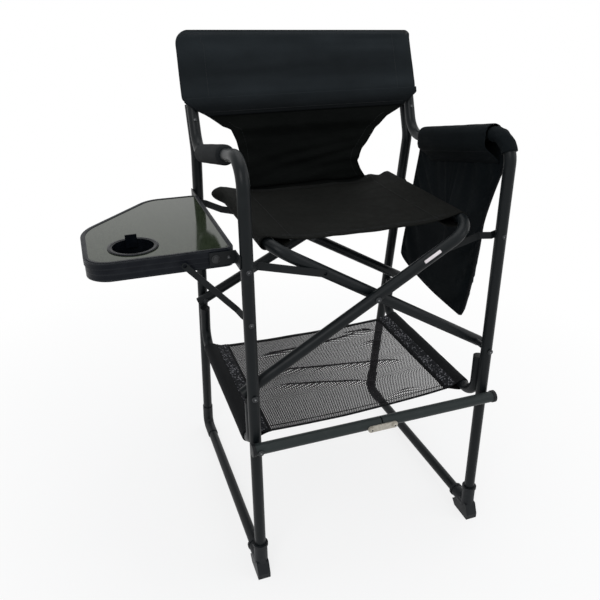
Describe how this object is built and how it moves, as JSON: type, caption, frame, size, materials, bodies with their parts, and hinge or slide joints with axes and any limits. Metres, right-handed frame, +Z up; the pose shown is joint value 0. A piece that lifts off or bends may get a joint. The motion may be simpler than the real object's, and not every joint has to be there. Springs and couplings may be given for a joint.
{
  "type": "folding director chair",
  "caption": "Tall folding director's chair with a dark tubular frame, fabric seat and back, side table with a cup holder, footrest, mesh tray and hanging bag.",
  "frame": {"origin": "on the floor under the middle of the whole chair, side table and bag included", "axes": "+Z up, -Y the way a sitter faces, +X from the side with the table towards the side with the bag"},
  "size_m": [0.8894, 0.6269, 1.1338],
  "materials": {
    "frame_tube": "satin",
    "footrest_tube": "satin",
    "strap_metal": "satin",
    "rivet_metal": "satin",
    "plate_metal": "satin",
    "black_plastic": "matt",
    "table_plastic": "gloss",
    "foam": "matt",
    "canvas": "matt",
    "mesh_cloth": "matt"
  },
  "bodies": {
    "left_frame": {"left_side_tube": "frame_tube", "left_rear_leg": "frame_tube", "left_base_rail": "frame_tube", "left_front_boot": "black_plastic", "left_rear_elbow": "black_plastic", "left_tray_rail": "frame_tube", "left_arm_grip": "foam", "left_tube_plugs": "black_plastic", "left_scissor_pins": "rivet_metal", "left_link_pins": "rivet_metal", "footrest_leg_pin": "rivet_metal", "table_front_bracket": "strap_metal", "table_rear_bracket": "strap_metal", "table_bolts": "rivet_metal", "table_strut_pins": "rivet_metal", "back_band": "canvas", "back_panel": "canvas", "mesh_tray": "mesh_cloth"},
    "outer_scissor": {"outer_scissor_tube": "frame_tube", "outer_scissor_plugs": "black_plastic", "scissor_centre_pins": "rivet_metal", "seat_sling": "canvas"},
    "inner_scissor": {"inner_scissor_tube": "frame_tube", "inner_scissor_plugs": "black_plastic"},
    "right_frame": {"right_side_tube": "frame_tube", "right_rear_leg": "frame_tube", "right_base_rail": "frame_tube", "right_front_boot": "black_plastic", "right_rear_elbow": "black_plastic", "right_tray_rail": "frame_tube", "right_arm_grip": "foam", "right_tube_plugs": "black_plastic", "right_scissor_pins": "rivet_metal", "right_link_pins": "rivet_metal", "scissor_spacers": "black_plastic", "storage_bag": "canvas", "bag_flap": "canvas", "bag_straps": "canvas"},
    "left_links": {"left_front_link": "strap_metal", "left_rear_link": "strap_metal"},
    "right_links": {"right_front_link": "strap_metal", "right_rear_link": "strap_metal"},
    "footrest_left_half": {"footrest_left_bar": "footrest_tube", "footrest_left_cap": "black_plastic"},
    "footrest_hinge": {"footrest_hinge_plate": "plate_metal", "footrest_plate_pins": "rivet_metal"},
    "footrest_right_half": {"footrest_right_bar": "footrest_tube", "footrest_right_cap": "black_plastic"},
    "side_table": {"table_rim": "table_plastic", "table_top": "table_plastic", "cup_holder": "black_plastic", "cup_tab": "black_plastic"},
    "table_struts": {"table_front_strut": "strap_metal", "table_rear_strut": "strap_metal"}
  },
  "joints": [
    {"name": "fold", "type": "hinge", "parent": "left_frame", "child": "outer_scissor", "pos_m": [-0.1622, -0.02, 0.482], "axis": [0, -1, 0], "range_deg": [0, 49], "deforming": ["seat_sling", "back_band", "back_panel", "mesh_tray"]},
    {"name": "cross", "type": "hinge", "parent": "outer_scissor", "child": "inner_scissor", "pos_m": [0.1138, -0.02, 0.64653], "axis": [0, -1, 0], "range_deg": [-98.1, 0]},
    {"name": "right_fold", "type": "hinge", "parent": "inner_scissor", "child": "right_frame", "pos_m": [0.3898, -0.02, 0.482], "axis": [0, -1, 0], "range_deg": [0, 49.1]},
    {"name": "left_link_turn", "type": "hinge", "parent": "left_frame", "child": "left_links", "pos_m": [-0.1622, -0.02, 0.755], "axis": [0, -1, 0], "range_deg": [0, 93.1]},
    {"name": "right_link_turn", "type": "hinge", "parent": "right_frame", "child": "right_links", "pos_m": [0.3898, -0.02, 0.755], "axis": [0, 1, 0], "range_deg": [0, 93.1]},
    {"name": "footrest_left_turn", "type": "hinge", "parent": "left_frame", "child": "footrest_left_half", "pos_m": [-0.1622, -0.02, 0.37], "axis": [0, -1, 0], "range_deg": [0, 83.3]},
    {"name": "footrest_plate_turn", "type": "hinge", "parent": "footrest_left_half", "child": "footrest_hinge", "pos_m": [0.0863, -0.02, 0.366], "axis": [0, -1, 0], "range_deg": [-83.3, 0]},
    {"name": "footrest_right_turn", "type": "hinge", "parent": "footrest_hinge", "child": "footrest_right_half", "pos_m": [0.1413, -0.02, 0.366], "axis": [0, -1, 0], "range_deg": [-83.3, 0]},
    {"name": "table_fold", "type": "hinge", "parent": "left_frame", "child": "side_table", "pos_m": [-0.2132, -0.02, 0.773], "axis": [0, 1, 0], "range_deg": [0, 90]},
    {"name": "strut_turn", "type": "hinge", "parent": "left_frame", "child": "table_struts", "pos_m": [-0.1622, -0.02, 0.646], "axis": [0, 1, 0], "range_deg": [0, 22.6]}
  ],
  "couplings": [
    {"joint": "cross", "follows": "fold", "ratio": -2},
    {"joint": "right_fold", "follows": "fold", "ratio": 1},
    {"joint": "left_link_turn", "follows": "fold", "ratio": 1.898},
    {"joint": "right_link_turn", "follows": "fold", "ratio": 1.898},
    {"joint": "footrest_left_turn", "follows": "fold", "ratio": 1.698},
    {"joint": "footrest_plate_turn", "follows": "fold", "ratio": -1.698},
    {"joint": "footrest_right_turn", "follows": "fold", "ratio": -1.698},
    {"joint": "strut_turn", "follows": "table_fold", "ratio": 0.25}
  ]
}
